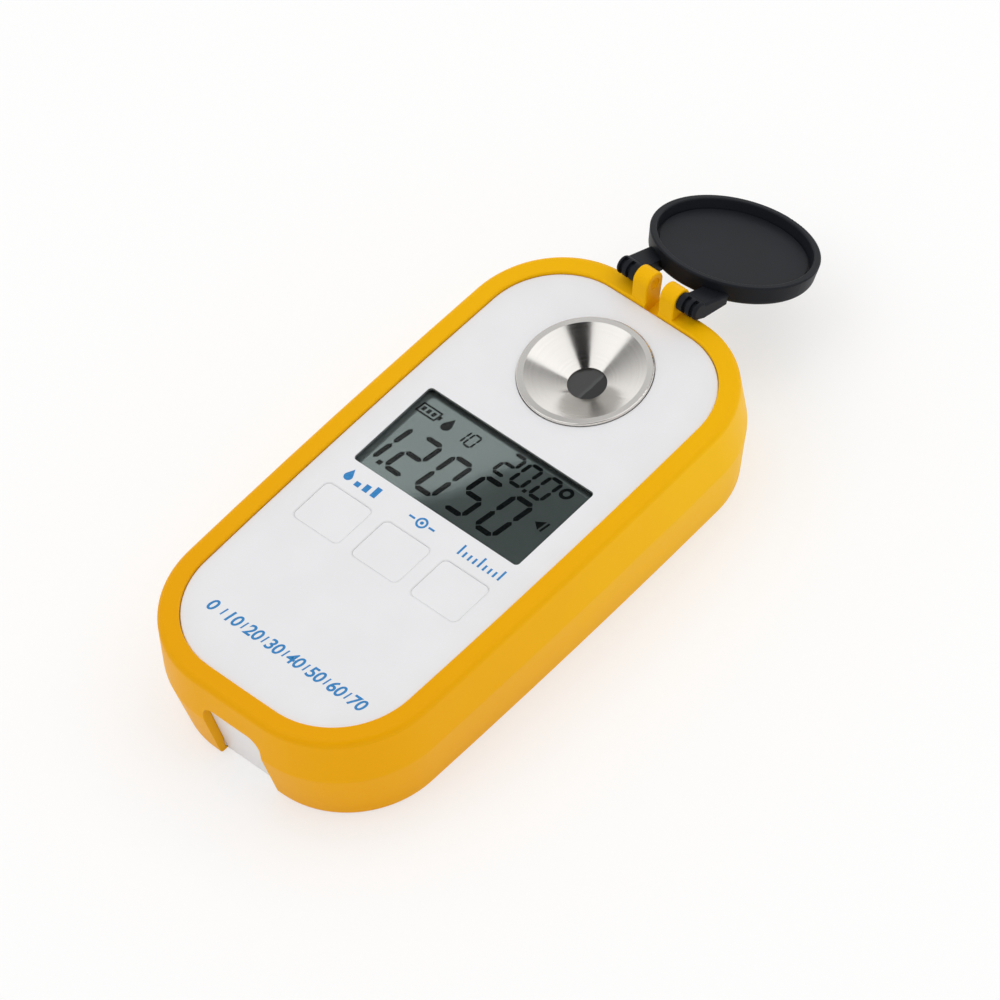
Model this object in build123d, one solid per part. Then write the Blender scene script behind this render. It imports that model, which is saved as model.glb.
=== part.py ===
from build123d import *
import os
from math import atan, cos, degrees, radians, sin, tan

# Pocket refractometer: white two-part housing in a rubber sleeve, steel sample stage, hinged stage lid.
# Millimetres. Origin at the middle of the underside, +Y towards the lid hinge, +Z out of the display face.
# The lid is modelled open, as it rests on its stop.

# Display face and housing
panel_side = 5.1
panel_length = 103.0
side_bow = 0.8
end_bow = 0.3
top_corner_radius = 14.6
bottom_corner_radius = 16.0
body_height = 21.4
split_drop = 3.9
face_thickness = 1.8
wall_thickness = 1.8
floor_thickness = 2.0
shoulder_width = 0.9
shoulder_drop = 1.8
tongue_thickness = 0.8
tongue_height = 1.2
panel_edge_round = 0.2

# Clearances
nest_gap = 0.1
seat_gap = 0.05
slide_gap = 0.15
button_gap = 0.2
pin_clearance = 0.05
lid_gap = 0.2

# Rubber sleeve
rim_width = 3.9
rim_rise = 0.6
rim_outer_round = 1.2
rim_inner_round = 0.3
wall_bulge = 0.35
crease_height = 11.7
crease_round = 2.0
foot_inset = 2.15
foot_round = 0.8
sole_lip = 0.3
notch_width = 13.4
notch_bridge = 1.7
notch_corner = 2.8

# Hinge of the stage lid
hinge_reach = 3.3
hinge_rise = 3.5
lug_radius = 2.15
lug_width = 3.3
lug_slot = 2.9
pin_radius = 1.1
pin_depth = 2.6
lug_edge_round = 0.3

# Stage lid
lid_open_angle = 205.7
lid_stage_offset = 0.75
lid_radius = 15.3
lid_height = 3.9
lid_taper = 0.5
lid_lip = 1.3
lid_draft = 0.4
lid_cavity_depth = 1.7
lid_lip_round = 0.3
lid_groove_width = 0.4
lid_groove_depth = 0.35
lid_crown_round = 1.0
knuckle_radius = 1.7
knuckle_width = 4.2
knuckle_groove = 0.8
knuckle_groove_depth = 0.6
arm_below = 1.3
arm_above = 1.0
arm_heel = 1.95
arm_edge_round = 0.5

# Sample stage and prism
stage_inset = 16.8
stage_radius = 12.0
stage_rise = 0.6
stage_flange = 1.4
stage_edge_round = 0.3
cone_radius = 10.7
cone_depth = 3.7
prism_window_radius = 3.5
bore_land = 0.4
stage_body_radius = 10.9
skirt_radius = 8.0
skirt_drop = 1.7
prism_size = 10.0
prism_land = 1.5
prism_drop = 6.0
prism_flank_angle = 60.0
prism_edge = 0.2
seal_radius = 4.3
seal_width = 0.8
seal_depth = 0.4

# Optics under the stage
block_width = 18.0
block_floor_gap = 0.1
led_radius = 1.5
led_length = 4.4
led_flange_height = 0.7
led_distance = 3.2
led_back_gap = 0.55
led_lead_radius = 0.25
led_lead_pitch = 1.27
lens_radius = 2.4
lens_thickness = 1.6
lens_crown = 0.7
lens_distance = 3.2
small_board = 0.8
small_board_width = 15.0
sensor_width = 9.6
sensor_height = 3.4
sensor_thickness = 1.2
ribbon_width = 5.0
ribbon_thickness = 0.3
ribbon_side_gap = 1.05
ribbon_bend = 1.5
ribbon_overlap = 6.0
bead_radius = 0.9
bead_angle = 28.0
wire_radius = 0.2

# Display
window_width = 38.2
window_height = 19.8
window_pitch = 28.6
window_corner = 0.8
window_recess = 0.6
window_margin = 1.2
window_thickness = 0.8
glass_front = 0.9
glass_rear = 0.8
glass_side = 0.7
glass_ledge = 2.0
bezel_wall = 1.0

# Buttons
button_pitch = 13.65
button_drop = 20.8
button_width = 10.7
button_height = 9.3
button_corner = 1.2
button_travel = 0.3
button_flange = 0.7
button_flange_thickness = 0.7
switch_size = 6.0
switch_body = 0.7
switch_stem_radius = 1.7

# Circuit board
board_drop = 4.2
board_thickness = 1.0
board_inset = 1.0
board_front_gap = 3.0
board_back_gap = 0.7
chip_size = 7.0
chip_height = 1.0
chip_x = 14.0
chip_drop = 12.1
socket_length = 7.0
socket_width = 2.4
socket_inset = 10.0
socket_height = 7.6

# Battery, one AAA cell
cell_radius = 5.25
cell_length = 44.5
cell_nub_radius = 1.9
cell_nub = 0.9
bay_gap = 0.35
bay_wall = 1.2
contact_thickness = 0.4
contact_tab = 2.0
contact_tab_x = 4.0
contact_height = 9.4
spring_wire = 0.3
spring_big_radius = 3.6
spring_small_radius = 1.8
spring_turns = 3
spring_height = 2.2

# Battery door
door_thickness = 1.2
door_tongue = 0.8
door_tongue_thickness = 0.7
door_end_wall = 1.6
door_end_gap = 0.4
door_proud = 2.2
door_foot_inset = 0.4
grip_start = 5.0
grip_count = 5
grip_pitch = 1.6
grip_width = 0.7
grip_half = 3.8
grip_depth = 0.35

# Screws; the first four are shares of the head's height or radius, or of the shaft's radius
head_round_share = 0.35
cross_depth_share = 0.45
cross_reach_share = 1.1
cross_width_share = 0.5
case_screw_side_inset = 7.2
case_screw_front_inset = 10.5
case_screw_back_inset = 8.9
case_screw_radius = 1.0
case_head_radius = 1.9
case_head_height = 1.4
case_head_sink = 0.4
case_screw_length = 12.0
post_radius = 2.7
post_roof = 1.0
post_joint = 9.0
board_screw_side_inset = 5.2
board_screw_front_drop = 12.3
board_screw_back_inset = 2.1
board_screw_radius = 0.8
board_head_radius = 1.5
board_head_height = 1.0
board_screw_length = 2.4
board_post_radius = 1.6
optics_screw_x = 13.6
optics_screw_y = 3.0
ear_thickness = 2.0
ear_radius = 2.0
optics_screw_length = 3.0

# Places that follow from the sizes above
panel_width = window_width + 2 * panel_side
stage_y = panel_length / 2 - stage_inset
hinge_y = panel_length / 2 + hinge_reach
window_y = stage_y - window_pitch
button_y = window_y - button_drop
split_height = body_height - split_drop
notch_height = split_height - notch_bridge
board_top = body_height - board_drop
board_front_end = board_front_gap - panel_length / 2
board_back_end = stage_y - stage_radius - board_back_gap
chip_y = window_y - chip_drop
socket_y = board_back_end - socket_inset
case_screw_x = panel_width / 2 - case_screw_side_inset
case_screw_front = case_screw_front_inset - panel_length / 2
case_screw_back = panel_length / 2 - case_screw_back_inset
board_screw_x = panel_width / 2 - board_screw_side_inset
board_screw_front = button_y - board_screw_front_drop
board_screw_back = board_back_end - board_screw_back_inset
shoulder_z = body_height - shoulder_drop
face_back_z = body_height - face_thickness
cover_inner_grow = -(wall_thickness - shoulder_width)
tongue_outer_grow = cover_inner_grow - nest_gap
tongue_inner_grow = tongue_outer_grow - tongue_thickness
rim_top = body_height + rim_rise
sleeve_inner = shoulder_width + nest_gap
hinge_z = body_height + hinge_rise
stage_top = body_height + stage_rise
cone_bottom = stage_top - cone_depth
stage_under = cone_bottom - bore_land
prism_top = stage_under - seat_gap
skirt_bottom = stage_under - skirt_drop
lid_y = stage_y + lid_stage_offset
lid_lip_z = body_height + lid_gap
block_top = skirt_bottom - nest_gap
block_bottom = floor_thickness + block_floor_gap
board_bottom = board_top - board_thickness
window_top = body_height - window_recess - seat_gap
window_bottom = window_top - window_thickness
glass_top = window_bottom - seat_gap
ledge_bottom = glass_top - glass_front
bay_half = cell_radius + bay_gap
cell_z = floor_thickness + seat_gap + cell_radius
housing_end = -panel_length / 2 - shoulder_width
bay_front = housing_end + door_end_wall + slide_gap
cell_end = bay_front + nest_gap + contact_thickness + seat_gap + cell_length
bay_end = cell_end + spring_height + contact_thickness + nest_gap
door_half = bay_half - slide_gap * 2
door_tongue_half = door_half + door_tongue
door_wall_half = notch_width / 2 - slide_gap
door_wall_top = notch_height - slide_gap * 2
ribbon_low = board_bottom - socket_height
sides = (-1, 1)
case_screws = [(side * case_screw_x, y) for side in sides for y in (case_screw_front, case_screw_back)]
board_screws = [(side * board_screw_x, y) for side in sides for y in (board_screw_front, board_screw_back)]
optics_screws = [(side * optics_screw_x, stage_y + optics_screw_y) for side in sides]
flange_top = face_back_z - nest_gap
cap_bottom = flange_top - button_flange_thickness
flank_y = prism_size / 2 - prism_drop / 2 / tan(radians(prism_flank_angle))
flank_z = prism_top - prism_land - prism_drop / 2
led_end = led_distance + led_length + led_flange_height
block_length = 2 * (flank_y + led_end * sin(radians(prism_flank_angle)) + led_back_gap)
button_names = {"button_left": -1, "button_middle": 0, "button_right": 1}


# Shared shapes

def outline(grow):
    """Display face outline, grown outwards by the given amount."""
    x_mid = panel_width / 2 + grow
    y_mid = panel_length / 2 + grow
    x_end = x_mid - side_bow
    y_end = y_mid - end_bow
    edges = Curve() + [
        ThreePointArc((x_end, -y_end), (x_mid, 0), (x_end, y_end)),
        ThreePointArc((x_end, y_end), (0, y_mid), (-x_end, y_end)),
        ThreePointArc((-x_end, y_end), (-x_mid, 0), (-x_end, -y_end)),
        ThreePointArc((-x_end, -y_end), (0, -y_mid), (x_end, -y_end)),
    ]
    shape = Sketch() + make_face(edges)
    shape = fillet(shape.vertices().filter_by(lambda v: v.Y > 0), top_corner_radius + grow)
    sharp = shape.vertices().filter_by(lambda v: v.Y < 0 and abs(abs(v.X) - x_end) < 0.01)
    return fillet(sharp, bottom_corner_radius + grow)


def slab(shape, low, high):
    """A flat shape raised from one height to another."""
    return extrude(Pos(0, 0, low) * shape, amount=high - low)


def block(x_range, y_range, z_range):
    """A box from its limits."""
    sizes = [b - a for a, b in (x_range, y_range, z_range)]
    middle = [(a + b) / 2 for a, b in (x_range, y_range, z_range)]
    return Pos(*middle) * Box(*sizes)


def plate(width, height, corner, low, high, x=0.0, y=0.0):
    """A rounded rectangular plate lying flat."""
    return Pos(x, y) * slab(RectangleRounded(width, height, corner), low, high)


def post(x, y, radius, low, high):
    """A round post standing along Z."""
    return Pos(x, y) * slab(Circle(radius), low, high)


def arch(width, height, corner, low, high):
    """A block from one Y to another with its feet on z = 0 and its two upper corners rounded."""
    shape = RectangleRounded(width, 2 * height, corner) & Pos(0, height) * Rectangle(width, 2 * height)
    return Pos(0, high, 0) * extrude(Plane.XZ * shape, amount=high - low)


def along_x(shape, low, high):
    """A shape drawn as (y, z) points, raised along X from low to high."""
    return Pos(low, 0, 0) * extrude(Plane.YZ * shape, amount=high - low)


def polygon(points):
    """A face from its corner points."""
    return make_face(Polyline(points, close=True))


def screw(x, y, seat, radius, head_radius, head_height, length):
    """A pan head screw driven upwards, its head under the seat."""
    body = post(x, y, radius, seat, seat + length)
    head = post(x, y, head_radius, seat - head_height, seat)
    head = fillet(head.edges().sort_by(Axis.Z)[0], head_height * head_round_share)
    depth = head_height * cross_depth_share
    reach = head_radius * cross_reach_share
    width = radius * cross_width_share
    cross = Box(reach, width, depth) + Box(width, reach, depth)
    return body + head - Pos(x, y, seat - head_height + depth / 2) * cross


# Housing

def front_cover():
    """Display face, its short skirt, screw posts and the holes for window, buttons and stage."""
    panel = slab(outline(0), shoulder_z, body_height)
    panel = fillet(panel.edges().group_by(Axis.Z)[-1], panel_edge_round)
    cover = panel + slab(outline(shoulder_width), split_height, shoulder_z)
    cover += slab(outline(tongue_outer_grow), split_height - tongue_height, split_height)
    cover -= slab(outline(tongue_inner_grow), split_height - tongue_height, face_back_z)
    for x, y in case_screws:
        cover += post(x, y, post_radius, post_joint, face_back_z)
        cover -= post(x, y, case_screw_radius + pin_clearance, post_joint, face_back_z - post_roof)
    for x, y in board_screws:
        cover += post(x, y, board_post_radius, board_top + seat_gap, face_back_z)
        cover -= post(x, y, board_screw_radius + pin_clearance, board_top, face_back_z)
    for x, y in optics_screws:
        cover += post(x, y, ear_radius, block_top + seat_gap, face_back_z)
        cover -= post(x, y, board_screw_radius + pin_clearance, block_top, face_back_z)
    cover -= post(0, stage_y, stage_body_radius + nest_gap, split_height - tongue_height, body_height)
    cover -= post(0, stage_y, stage_radius + nest_gap, stage_top - stage_flange - seat_gap, body_height)
    cover -= plate(window_width, window_height, window_corner, face_back_z, body_height, y=window_y)
    rebate = 2 * (window_margin + nest_gap)
    cover -= plate(window_width + rebate, window_height + rebate, window_corner,
                   face_back_z, window_top + seat_gap, y=window_y)
    for side in button_names.values():
        cover -= plate(button_width + 2 * button_gap, button_height + 2 * button_gap,
                       button_corner + button_gap, face_back_z, body_height, side * button_pitch, button_y)
    return cover


def rear_cover():
    """Tub of the housing with the battery bay, the door's groove and four screw posts."""
    tub = slab(outline(shoulder_width), 0, split_height)
    tub = chamfer(tub.edges().group_by(Axis.Z)[0], shoulder_width)
    tub -= slab(outline(cover_inner_grow), floor_thickness, split_height)
    bay_top = board_bottom - nest_gap * 2
    bay_outer = bay_half + bay_wall
    bay = block((-bay_outer, bay_outer), (bay_front, bay_end + bay_wall), (floor_thickness, bay_top))
    tub += bay - block((-bay_half, bay_half), (bay_front, bay_end), (floor_thickness, bay_top))
    for x, y in case_screws:
        tub += post(x, y, post_radius, 0, post_joint - seat_gap)
        tub -= post(x, y, case_screw_radius + nest_gap, 0, post_joint)
        seat = case_head_sink + case_head_height
        tub -= post(x, y, case_head_radius + nest_gap * 2, 0, seat)
    groove_low = door_thickness - door_tongue_thickness - nest_gap
    groove_half = door_tongue_half + slide_gap
    groove_end = bay_end - door_end_gap + slide_gap
    opening_half = door_half + slide_gap
    tub -= block((-opening_half, opening_half), (housing_end, groove_end), (0, groove_low))
    tub -= block((-groove_half, groove_half), (housing_end, groove_end),
                 (groove_low, door_thickness + nest_gap))
    tub -= block((-bay_half, bay_half), (bay_front, bay_end - bay_wall), (door_thickness, floor_thickness))
    slot_width = 2 * (door_wall_half + slide_gap)
    return tub - arch(slot_width, door_wall_top + slide_gap, notch_corner, housing_end, bay_front)


def battery_door():
    """Door that slides out through the sleeve's notch, with its upturned leaning end and thumb ridges."""
    door_end = bay_end - door_end_gap
    door = block((-door_half, door_half), (housing_end, door_end), (0, door_thickness))
    door += block((-door_tongue_half, door_tongue_half), (housing_end, door_end),
                  (door_thickness - door_tongue_thickness, door_thickness))
    proud_end = housing_end - door_proud
    door += arch(2 * door_wall_half, door_wall_top, notch_corner, proud_end, housing_end + door_end_wall)
    lean = polygon([(proud_end, 0), (housing_end + door_foot_inset, 0), (proud_end, door_wall_top)])
    door -= along_x(lean, -door_wall_half, door_wall_half)
    for step in range(grip_count):
        y = housing_end + grip_start + step * grip_pitch
        door -= block((-grip_half, grip_half), (y, y + grip_width), (0, grip_depth))
    return door


# Sleeve

def sleeve_section():
    """Cross-section of the sleeve as (distance outside the display face outline, height)."""
    wall_x = rim_width + wall_bulge
    foot_x = wall_x - foot_inset
    lip_z = shoulder_z + nest_gap
    chamfer_gap = nest_gap * 1.5
    points = [
        (nest_gap, lip_z), (nest_gap, rim_top), (rim_width, rim_top), (wall_x, crease_height),
        (foot_x, 0), (sole_lip, 0), (sole_lip, sole_lip - chamfer_gap),
        (sleeve_inner, sleeve_inner - chamfer_gap), (sleeve_inner, lip_z),
    ]
    section = Sketch() + polygon(points)

    def corner(index):
        x, z = points[index]
        return section.vertices().filter_by(lambda v: abs(v.X - x) + abs(v.Y - z) < 1e-6)

    section = fillet(corner(1), rim_inner_round)
    section = fillet(corner(2), rim_outer_round)
    section = fillet(corner(3), crease_round)
    return fillet(corner(4), foot_round)


def hinge_lug(low, high):
    """One rounded lug on the rim, with the bore for the lid's pin."""
    front = panel_length / 2 + nest_gap * 2
    back = panel_length / 2 + rim_width
    foot = shoulder_z + nest_gap * 2
    base = Polyline([(front, foot), (front, body_height), (back, foot)], close=True)
    loop = Pos(hinge_y, hinge_z) * Circle(lug_radius)
    profile = make_hull(base.edges() + loop.edges())
    lug = along_x(profile, low, high)
    lug = fillet(lug.edges().filter_by(Plane.YZ).filter_by(lambda e: e.center().Z > body_height),
                 lug_edge_round)
    return lug - along_x(Pos(hinge_y, hinge_z) * Circle(pin_radius + pin_clearance), low, high)


def sleeve():
    """Rubber sleeve round the housing, with the end notch and the two hinge lugs."""
    path = outline(0).face().outer_wire()
    start = path @ 0
    along = path % 0
    outwards = Vector(0, 0, 1).cross(along)
    if outwards.dot(start) < 0:
        outwards = -outwards
    across = Plane(origin=start, x_dir=outwards, z_dir=outwards.cross(Vector(0, 0, 1)))
    band = sweep(across * sleeve_section(), path=path)
    outside = -panel_length / 2 - rim_width * 2
    band -= arch(notch_width, notch_height, notch_corner, outside, -panel_length / 2)
    inner = lug_slot / 2
    outer = inner + lug_width
    for low, high in ((inner, outer), (-outer, -inner)):
        band += hinge_lug(low, high)
    return band - block((-inner, inner), (panel_length / 2, hinge_y + 2 * lug_radius),
                        (shoulder_z + nest_gap * 2, hinge_z + lug_radius))


# Stage lid

def lid():
    """Dished stage lid with two grooved knuckles and stub pins, swung open about the hinge."""
    dish = revolve(Plane.XZ * polygon([
        (0, 0), (lid_radius, 0), (lid_radius - lid_taper, lid_height), (0, lid_height)]))
    dish = fillet(dish.edges().group_by(Axis.Z)[-1], lid_crown_round)
    inner = lid_radius - lid_lip
    foot = inner - lid_draft
    floor = foot - lid_groove_width
    deepest = lid_cavity_depth + lid_groove_depth
    cavity = revolve(Plane.XZ * polygon([
        (0, 0), (inner, 0), (foot, deepest), (floor, deepest), (floor, lid_cavity_depth),
        (0, lid_cavity_depth)]))
    arm = polygon([
        (-lid_radius / 2, -arm_below), (0, -arm_below), (0, knuckle_radius),
        (-knuckle_radius, arm_heel), (-lid_radius / 2, arm_above)])
    near = lug_slot / 2 + lug_width + slide_gap
    far = near + knuckle_width
    body = Pos(0, lid_y, lid_lip_z) * dish
    for side in sides:
        low, high = sorted((side * near, side * far))
        profile = Sketch() + arm + Circle(knuckle_radius)
        hinge = along_x(Pos(hinge_y, hinge_z) * profile, low, high)
        rounded = hinge.edges().filter_by(Plane.YZ).filter_by(lambda e: abs(e.center().X) > near + nest_gap)
        body += fillet(rounded, arm_edge_round)
        for turn in (1, 2):
            ring = Circle(knuckle_radius * 2) - Circle(knuckle_radius - knuckle_groove_depth)
            ring &= Pos(knuckle_radius * 2, 0) * Rectangle(knuckle_radius * 4, knuckle_radius * 4)
            start = side * (near + turn * 2 * knuckle_groove) - knuckle_groove / 2
            body -= along_x(Pos(hinge_y, hinge_z) * ring, start, start + knuckle_groove)
        pin_low, pin_high = sorted((side * near, side * (near - pin_depth)))
        body += along_x(Pos(hinge_y, hinge_z) * Circle(pin_radius), pin_low, pin_high)
    body -= Pos(0, lid_y, lid_lip_z) * cavity
    lip = body.edges().filter_by(GeomType.CIRCLE).filter_by(
        lambda e: abs(e.center().Z - lid_lip_z) < nest_gap and e.radius > foot)
    body = fillet(lip, lid_lip_round)
    hinge_axis = Axis((0, hinge_y, hinge_z), (1, 0, 0))
    return body.rotate(hinge_axis, -lid_open_angle)


# Sample stage, prism and optics

def sample_stage():
    """Polished steel dish that guides the drop onto the prism."""
    flange_low = stage_top - stage_flange
    section = Sketch() + polygon([
        (prism_window_radius, stage_under), (prism_window_radius, cone_bottom), (cone_radius, stage_top),
        (stage_radius, stage_top), (stage_radius, flange_low), (stage_body_radius, flange_low),
        (stage_body_radius, skirt_bottom), (skirt_radius, skirt_bottom), (skirt_radius, stage_under)])
    rim = section.vertices().filter_by(lambda v: v.X > stage_radius - 0.01 and v.Y > stage_top - 0.01)
    section = fillet(rim, stage_edge_round)
    stage = revolve(Plane.XZ * section)
    groove_half = seal_width / 2 + seat_gap
    groove = Circle(seal_radius + groove_half) - Circle(seal_radius - groove_half)
    stage -= slab(groove, stage_under, stage_under + seal_depth)
    return Pos(0, stage_y) * stage


def prism():
    """Measuring prism with two sloped flanks, its top closing the dish."""
    half = prism_size / 2
    slope = prism_drop / tan(radians(prism_flank_angle))
    section = polygon([
        (-half, prism_top), (half, prism_top), (half, prism_top - prism_land),
        (half - slope, prism_top - prism_land - prism_drop),
        (slope - half, prism_top - prism_land - prism_drop), (-half, prism_top - prism_land)])
    glass = along_x(section, -half, half)
    glass = chamfer(glass.edges().filter_by(Axis.Z), prism_edge)
    return Pos(0, stage_y) * glass


def prism_seal():
    """Sealing ring between prism and dish."""
    ring = Circle(seal_radius + seal_width / 2) - Circle(seal_radius - seal_width / 2)
    return Pos(0, stage_y) * slab(ring, prism_top + seat_gap / 2, stage_under + seal_depth - seat_gap)


def beam(side, start, length, radius):
    """A round bar on the light path that leaves the prism's flank on one side."""
    drop = cos(radians(prism_flank_angle))
    reach = sin(radians(prism_flank_angle))
    direction = Vector(0, side * reach, -drop)
    flank = Vector(0, stage_y + side * flank_y, flank_z)
    plane = Plane(origin=flank + direction * start, x_dir=(1, 0, 0), z_dir=direction)
    return plane, extrude(plane * Circle(radius), amount=length)


def optics_block():
    """Dark carrier under the dish that holds prism, lamp, lens and sensor in line."""
    half = block_width / 2
    reach = block_length / 2
    body = block((-half, half), (-reach, reach), (block_bottom, block_top))
    body += post(0, 0, skirt_radius - nest_gap, block_top, prism_top - seat_gap)
    ear_low = block_top - ear_thickness
    for side in sides:
        ear_x = side * optics_screw_x
        ear_span = (optics_screw_y - ear_radius, optics_screw_y + ear_radius)
        body += block(sorted((0, ear_x)), ear_span, (ear_low, block_top))
        body += post(ear_x, optics_screw_y, ear_radius, ear_low, block_top)
        body -= post(ear_x, optics_screw_y, board_screw_radius + nest_gap, ear_low, block_top)
    pocket = prism_size / 2 + nest_gap
    pocket_floor = prism_top - prism_land - prism_drop - seat_gap
    body -= block((-pocket, pocket), (-pocket, pocket), (pocket_floor, prism_top))
    sensor_half = sensor_width / 2 + nest_gap
    sensor_tall = sensor_height / 2 + nest_gap
    middle = sensor_middle()
    body -= block((-sensor_half, sensor_half), (reach - sensor_thickness - nest_gap, reach),
                  (middle - sensor_tall, middle + sensor_tall))
    body = Pos(0, stage_y) * body
    body -= beam(-1, 0, block_length, led_radius + nest_gap)[1]
    clear = lens_distance + lens_thickness + nest_gap
    body -= beam(1, 0, clear, lens_radius + nest_gap)[1]
    body -= beam(1, clear, block_length, lens_radius - 2 * lens_crown)[1]
    return body


def sensor_middle():
    """Height at which the light path meets the back of the carrier."""
    return flank_z - (block_length / 2 - flank_y) / tan(radians(prism_flank_angle))


def measuring_led():
    """Lamp in the carrier's front bore, with its two leads."""
    plane, body = beam(-1, led_distance + led_radius, led_length - led_radius, led_radius)
    dome = plane * Sphere(led_radius)
    base, flange = beam(-1, led_distance + led_length, led_flange_height, led_radius)
    lamp = body + dome + flange
    back_y = stage_y - block_length / 2 - nest_gap * 2
    reach = sin(radians(prism_flank_angle))
    lead_length = (base.origin.Y - back_y) / reach - nest_gap * 2
    for side in sides:
        lamp += base * Pos(side * led_lead_pitch / 2, 0) * Cylinder(
            led_lead_radius, lead_length, align=(Align.CENTER, Align.CENTER, Align.MIN))
    return lamp


def led_board():
    """Small board that carries the lamp, standing against the carrier's front."""
    back = stage_y - block_length / 2 - nest_gap * 2
    half = small_board_width / 2
    return block((-half, half), (back - small_board, back), (block_bottom, block_top - nest_gap))


def lens():
    """Lens between the prism and the sensor."""
    plane, body = beam(1, lens_distance, lens_thickness - lens_crown, lens_radius)
    radius = (lens_radius ** 2 + lens_crown ** 2) / (2 * lens_crown)
    ball = plane * Pos(0, 0, lens_thickness - radius) * Sphere(radius)
    cap = beam(1, lens_distance, lens_thickness, lens_radius)[1]
    return body + (ball & cap)


def line_sensor():
    """Line sensor in the pocket at the carrier's back."""
    half = sensor_width / 2
    back = stage_y + block_length / 2 + nest_gap
    middle = sensor_middle()
    tall = sensor_height / 2
    return block((-half, half), (back - sensor_thickness, back), (middle - tall, middle + tall))


def sensor_board():
    """Small board behind the line sensor."""
    front = stage_y + block_length / 2 + nest_gap * 2
    half = small_board_width / 2
    return block((-half, half), (front, front + small_board), (block_bottom, block_top - nest_gap))


def sensor_ribbon():
    """Flat cable from the sensor board round the carrier to the socket on the main board."""
    half = small_board_width / 2
    back = stage_y + block_length / 2 + nest_gap * 2 + small_board + seat_gap + ribbon_thickness / 2
    side = ribbon_x()
    path = FilletPolyline((half - ribbon_overlap, back), (side, back),
                          (side, socket_y + socket_length + seat_gap + ribbon_thickness / 2),
                          radius=ribbon_bend)
    strip = make_face(offset(path, amount=ribbon_thickness / 2, side=Side.BOTH))
    return slab(Sketch() + strip, ribbon_low, ribbon_low + ribbon_width)


def ribbon_x():
    """Side offset at which the flat cable passes the carrier."""
    return block_width / 2 + ribbon_side_gap


def thermistor():
    """Temperature bead against the dish, its two wires on the main board."""
    reach = stage_body_radius + seat_gap + bead_radius
    x = reach * sin(radians(bead_angle))
    y = stage_y - reach * cos(radians(bead_angle))
    z = board_top + bead_radius + nest_gap
    bead = Pos(x, y, z) * Sphere(bead_radius)
    foot_y = board_back_end - bead_radius
    for side in sides:
        wire_x = x + side * bead_radius / 2
        path = FilletPolyline((wire_x, y, z), (wire_x, foot_y, z),
                              (wire_x, foot_y, board_top + seat_gap), radius=wire_radius * 2)
        ring = Plane(origin=path @ 0, z_dir=path % 0) * Circle(wire_radius)
        bead += sweep(ring, path=path)
    return bead


# Display

def display_window():
    """Clear window behind the opening in the display face."""
    return plate(window_width + 2 * window_margin, window_height + 2 * window_margin, window_corner,
                 window_bottom, window_top, y=window_y)


def display_glass():
    """Liquid crystal cell: a front glass and a shorter rear glass."""
    width = window_width + 2 * glass_side
    height = window_height + 2 * glass_side
    front = block((-width / 2, width / 2), (-height / 2, height / 2), (ledge_bottom, glass_top))
    rear_half = height / 2 - glass_ledge
    rear_bottom = ledge_bottom - glass_rear
    rear = block((-width / 2, width / 2), (-rear_half, rear_half), (rear_bottom, ledge_bottom))
    return Pos(0, window_y) * (front + rear)


def zebra_strips():
    """The two striped rubber connectors between the display and the board."""
    half = window_width / 2
    outer = window_height / 2 + glass_side - nest_gap
    inner = outer - glass_ledge + 3 * nest_gap
    strips = []
    for low, high in ((inner, outer), (-outer, -inner)):
        strips.append(block((-half, half), (window_y + low, window_y + high),
                            (board_top + seat_gap, ledge_bottom - seat_gap)))
    return Compound(children=strips)


def display_bezel():
    """Frame that holds the display on the board."""
    width = window_width + 2 * (glass_side + nest_gap)
    height = window_height + 2 * (glass_side + nest_gap)
    outer = RectangleRounded(width + 2 * bezel_wall, height + 2 * bezel_wall, window_corner)
    ring = slab(outer - Rectangle(width, height), board_top + seat_gap, face_back_z - seat_gap)
    return Pos(0, window_y) * ring


# Buttons

def button(side):
    """One button cap with the flange that keeps it in."""
    x = side * button_pitch
    cap = plate(button_width, button_height, button_corner, cap_bottom, body_height, x, button_y)
    cap = fillet(cap.edges().group_by(Axis.Z)[-1], panel_edge_round)
    return cap + plate(button_width + 2 * button_flange, button_height + 2 * button_flange,
                       button_corner, cap_bottom, flange_top, x, button_y)


def tact_switch(side):
    """Switch under one button."""
    x = side * button_pitch
    stem_top = cap_bottom - button_travel - nest_gap
    body_top = board_top + switch_body
    body = plate(switch_size, switch_size, button_corner / 2, board_top, body_top, x, button_y)
    return body + post(x, button_y, switch_stem_radius, board_top, stem_top)


# Circuit board

def main_board():
    """Board that carries display, switches and the battery contacts."""
    shape = outline(tongue_inner_grow - board_inset)
    middle = (board_back_end + board_front_end) / 2
    shape &= Pos(0, middle) * Rectangle(panel_width, board_back_end - board_front_end)
    board = slab(shape, board_bottom, board_top)
    for x, y in board_screws:
        board -= post(x, y, board_screw_radius + nest_gap, board_bottom, board_top)
    for x, y in case_screws:
        board -= post(x, y, post_radius + bay_gap, board_bottom, board_top)
    return board


def microcontroller():
    """Main chip on the underside of the board."""
    low = board_bottom - chip_height
    return plate(chip_size, chip_size, chip_height / 4, low, board_bottom, chip_x, chip_y)


def ribbon_socket():
    """Socket for the flat cable, on the underside of the board."""
    x = ribbon_x()
    return block((x - socket_width / 2, x + socket_width / 2), (socket_y, socket_y + socket_length),
                 (board_bottom - socket_height, board_bottom))


# Battery

def battery_cell():
    """One AAA cell lying along the body, its nub towards the door's end."""
    start = cell_end
    plane = Plane(origin=(0, start, cell_z), x_dir=(1, 0, 0), z_dir=(0, -1, 0))
    can = extrude(plane * Circle(cell_radius), amount=cell_length - cell_nub)
    can = fillet(can.edges(), cell_nub / 2)
    nub = Plane(origin=(0, start - cell_length + cell_nub, cell_z), x_dir=(1, 0, 0), z_dir=(0, -1, 0))
    return can + extrude(nub * Circle(cell_nub_radius), amount=cell_nub)


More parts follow.
